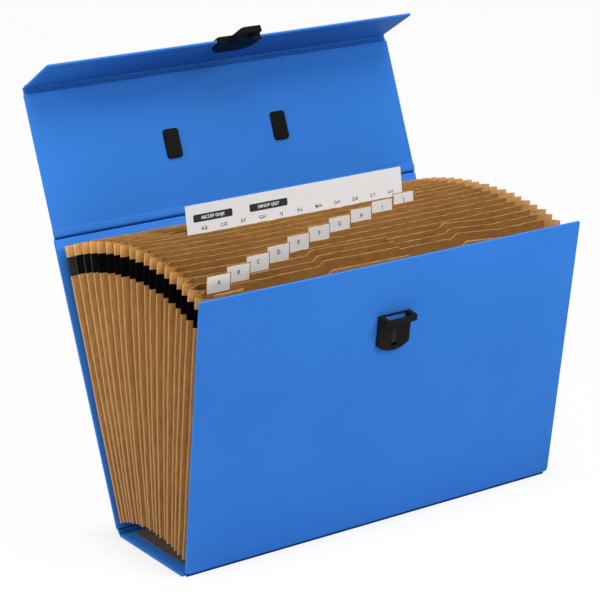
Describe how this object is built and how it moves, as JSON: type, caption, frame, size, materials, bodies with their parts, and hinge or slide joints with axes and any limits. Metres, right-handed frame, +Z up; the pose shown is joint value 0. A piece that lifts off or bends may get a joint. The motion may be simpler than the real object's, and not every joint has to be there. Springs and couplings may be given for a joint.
{
  "type": "expanding file",
  "caption": "Open expanding file: covered case of hinged boards with a fanned paper bellows of tabbed pockets, a lid with a hasp, a front catch and a carry handle.",
  "frame": {"origin": "on the base board's underside, where the file stands, midway between the creases at the feet of the front and the back board", "axes": "+Z up, +X along the file's length, -Y to the front board with the catch"},
  "size_m": [0.39, 0.2949, 0.4209],
  "materials": {
    "blue_cover": "satin",
    "grey_liner": "matte",
    "kraft": "matte",
    "black_tape": "satin",
    "white_card": "matte",
    "black_plastic": "satin",
    "grey_plastic": "satin",
    "rivet_metal": "satin"
  },
  "bodies": {
    "base": {"base_board": "blue_cover", "base_liner": "grey_liner", "rear_crease_strip": "blue_cover", "front_crease_strip": "blue_cover"},
    "back_panel": {"back_board": "blue_cover", "back_sheet": "kraft", "gusset_left": "kraft", "gusset_right": "kraft", "gusset_tape_left": "black_tape", "gusset_tape_right": "black_tape"},
    "front_panel": {"front_board": "blue_cover", "front_sheet": "kraft", "catch_body": "black_plastic", "catch_rivets": "rivet_metal"},
    "slide": {"catch_slider": "grey_plastic"},
    "lid_strip": {"lid_crease_strip": "blue_cover"},
    "lid": {"lid_board": "blue_cover", "lip_crease_strip": "blue_cover", "handle_backing_plates": "black_plastic", "handle_end_caps": "black_plastic", "handle_rivets": "rivet_metal", "handle_strap_left": "black_plastic", "handle_strap_right": "black_plastic"},
    "lip": {"lip_board": "blue_cover", "hasp_tongue": "black_plastic", "hasp_backing": "black_plastic", "hasp_rivets": "rivet_metal"},
    "handle": {"handle_grip": "black_plastic"},
    "card": {"index_card": "white_card"},
    "pocket_sheet_01": {"divider_01": "kraft"},
    "pocket_sheet_02": {"divider_02": "kraft"},
    "pocket_sheet_03": {"divider_03": "kraft"},
    "pocket_sheet_04": {"divider_04": "kraft"},
    "pocket_sheet_05": {"divider_05": "kraft"},
    "pocket_sheet_06": {"divider_06": "kraft"},
    "pocket_sheet_07": {"divider_07": "kraft"},
    "pocket_sheet_08": {"divider_08": "kraft"},
    "pocket_sheet_09": {"divider_09": "kraft"},
    "pocket_sheet_10": {"divider_10": "kraft"},
    "pocket_sheet_11": {"divider_11": "kraft"},
    "pocket_sheet_12": {"divider_12": "kraft"},
    "pocket_sheet_13": {"divider_13": "kraft"},
    "pocket_sheet_14": {"divider_14": "kraft"},
    "pocket_sheet_15": {"divider_15": "kraft"},
    "pocket_sheet_16": {"divider_16": "kraft"},
    "pocket_sheet_17": {"divider_17": "kraft"},
    "pocket_sheet_18": {"divider_18": "kraft"}
  },
  "joints": [
    {"name": "fan", "type": "hinge", "parent": "base", "child": "back_panel", "pos_m": [0, 0.05745, 0.006], "axis": [1, 0, 0], "range_deg": [0, 18.3], "deforming": ["gusset_left", "gusset_right", "gusset_tape_left", "gusset_tape_right"]},
    {"name": "front_hinge", "type": "hinge", "parent": "base", "child": "front_panel", "pos_m": [0, -0.05745, 0.0006], "axis": [-1, 0, 0], "range_deg": [0, 10.05]},
    {"name": "fold_01", "type": "hinge", "parent": "back_panel", "child": "pocket_sheet_01", "pos_m": [0, 0.05614, 0.0109], "axis": [-1, 0, 0], "range_deg": [0, 2.07]},
    {"name": "fold_02", "type": "hinge", "parent": "pocket_sheet_01", "child": "pocket_sheet_02", "pos_m": [0, 0.05054, 0.01261], "axis": [-1, 0, 0], "range_deg": [0, 2]},
    {"name": "fold_03", "type": "hinge", "parent": "pocket_sheet_02", "child": "pocket_sheet_03", "pos_m": [0, 0.04488, 0.01412], "axis": [-1, 0, 0], "range_deg": [0, 1.94]},
    {"name": "fold_04", "type": "hinge", "parent": "pocket_sheet_03", "child": "pocket_sheet_04", "pos_m": [0, 0.03917, 0.01542], "axis": [-1, 0, 0], "range_deg": [0, 1.88]},
    {"name": "fold_05", "type": "hinge", "parent": "pocket_sheet_04", "child": "pocket_sheet_05", "pos_m": [0, 0.03342, 0.01652], "axis": [-1, 0, 0], "range_deg": [0, 1.82]},
    {"name": "fold_06", "type": "hinge", "parent": "pocket_sheet_05", "child": "pocket_sheet_06", "pos_m": [0, 0.02764, 0.01742], "axis": [-1, 0, 0], "range_deg": [0, 1.75]},
    {"name": "fold_07", "type": "hinge", "parent": "pocket_sheet_06", "child": "pocket_sheet_07", "pos_m": [0, 0.02182, 0.0181], "axis": [-1, 0, 0], "range_deg": [0, 1.69]},
    {"name": "fold_08", "type": "hinge", "parent": "pocket_sheet_07", "child": "pocket_sheet_08", "pos_m": [0, 0.01598, 0.01858], "axis": [-1, 0, 0], "range_deg": [0, 1.63]},
    {"name": "fold_09", "type": "hinge", "parent": "pocket_sheet_08", "child": "pocket_sheet_09", "pos_m": [0, 0.01013, 0.01884], "axis": [-1, 0, 0], "range_deg": [0, 1.56]},
    {"name": "fold_10", "type": "hinge", "parent": "pocket_sheet_09", "child": "pocket_sheet_10", "pos_m": [0, 0.00428, 0.0189], "axis": [-1, 0, 0], "range_deg": [0, 1.5]},
    {"name": "fold_11", "type": "hinge", "parent": "pocket_sheet_10", "child": "pocket_sheet_11", "pos_m": [0, -0.00157, 0.01875], "axis": [-1, 0, 0], "range_deg": [0, 1.44]},
    {"name": "fold_12", "type": "hinge", "parent": "pocket_sheet_11", "child": "pocket_sheet_12", "pos_m": [0, -0.00742, 0.01838], "axis": [-1, 0, 0], "range_deg": [0, 1.38]},
    {"name": "fold_13", "type": "hinge", "parent": "pocket_sheet_12", "child": "pocket_sheet_13", "pos_m": [0, -0.01325, 0.01781], "axis": [-1, 0, 0], "range_deg": [0, 1.31]},
    {"name": "fold_14", "type": "hinge", "parent": "pocket_sheet_13", "child": "pocket_sheet_14", "pos_m": [0, -0.01905, 0.01703], "axis": [-1, 0, 0], "range_deg": [0, 1.25]},
    {"name": "fold_15", "type": "hinge", "parent": "pocket_sheet_14", "child": "pocket_sheet_15", "pos_m": [0, -0.02482, 0.01604], "axis": [-1, 0, 0], "range_deg": [0, 1.19]},
    {"name": "fold_16", "type": "hinge", "parent": "pocket_sheet_15", "child": "pocket_sheet_16", "pos_m": [0, -0.03055, 0.01485], "axis": [-1, 0, 0], "range_deg": [0, 1.12]},
    {"name": "fold_17", "type": "hinge", "parent": "pocket_sheet_16", "child": "pocket_sheet_17", "pos_m": [0, -0.03624, 0.01345], "axis": [-1, 0, 0], "range_deg": [0, 1.06]},
    {"name": "fold_18", "type": "hinge", "parent": "pocket_sheet_17", "child": "pocket_sheet_18", "pos_m": [0, -0.04187, 0.01185], "axis": [-1, 0, 0], "range_deg": [0, 1]},
    {"name": "lid_back_fold", "type": "hinge", "parent": "back_panel", "child": "lid_strip", "pos_m": [0, 0.14297, 0.25132], "axis": [1, 0, 0], "range_deg": [-130, 0]},
    {"name": "lid_turn", "type": "hinge", "parent": "lid_strip", "child": "lid", "pos_m": [0, 0.14476, 0.25917], "axis": [1, 0, 0], "range_deg": [0, 90.94]},
    {"name": "lip_fold", "type": "hinge", "parent": "lid", "child": "lip", "pos_m": [0, 0.18723, 0.38098], "axis": [1, 0, 0], "range_deg": [-81.1, 8.9]},
    {"name": "card_slide", "type": "slide", "parent": "pocket_sheet_07", "child": "card", "axis": [0, -0.0956, -0.9954], "range_m": [0, 0.02601]},
    {"name": "catch_slide", "type": "slide", "parent": "front_panel", "child": "slide", "axis": [0, 0.1829, -0.9831], "range_m": [0, 0.0025]},
    {"name": "handle_lift", "type": "slide", "parent": "lid", "child": "handle", "axis": [0, 0.9443, -0.3292], "range_m": [0, 0.018], "deforming": ["handle_strap_left", "handle_strap_right"]}
  ],
  "couplings": [
    {"joint": "front_hinge", "follows": "fan", "ratio": 0.54863},
    {"joint": "fold_01", "follows": "fan", "ratio": 0.11239},
    {"joint": "fold_02", "follows": "fan", "ratio": 0.10896},
    {"joint": "fold_03", "follows": "fan", "ratio": 0.10553},
    {"joint": "fold_04", "follows": "fan", "ratio": 0.1021},
    {"joint": "fold_05", "follows": "fan", "ratio": 0.098666},
    {"joint": "fold_06", "follows": "fan", "ratio": 0.095235},
    {"joint": "fold_07", "follows": "fan", "ratio": 0.091803},
    {"joint": "fold_08", "follows": "fan", "ratio": 0.088371},
    {"joint": "fold_09", "follows": "fan", "ratio": 0.084939},
    {"joint": "fold_10", "follows": "fan", "ratio": 0.081507},
    {"joint": "fold_11", "follows": "fan", "ratio": 0.078075},
    {"joint": "fold_12", "follows": "fan", "ratio": 0.074643},
    {"joint": "fold_13", "follows": "fan", "ratio": 0.071211},
    {"joint": "fold_14", "follows": "fan", "ratio": 0.06778},
    {"joint": "fold_15", "follows": "fan", "ratio": 0.064348},
    {"joint": "fold_16", "follows": "fan", "ratio": 0.060916},
    {"joint": "fold_17", "follows": "fan", "ratio": 0.057484},
    {"joint": "fold_18", "follows": "fan", "ratio": 0.054052},
    {"joint": "lid_turn", "follows": "fan", "ratio": 4.9683},
    {"joint": "card_slide", "follows": "fan", "m_per_rad": 0.081404}
  ]
}
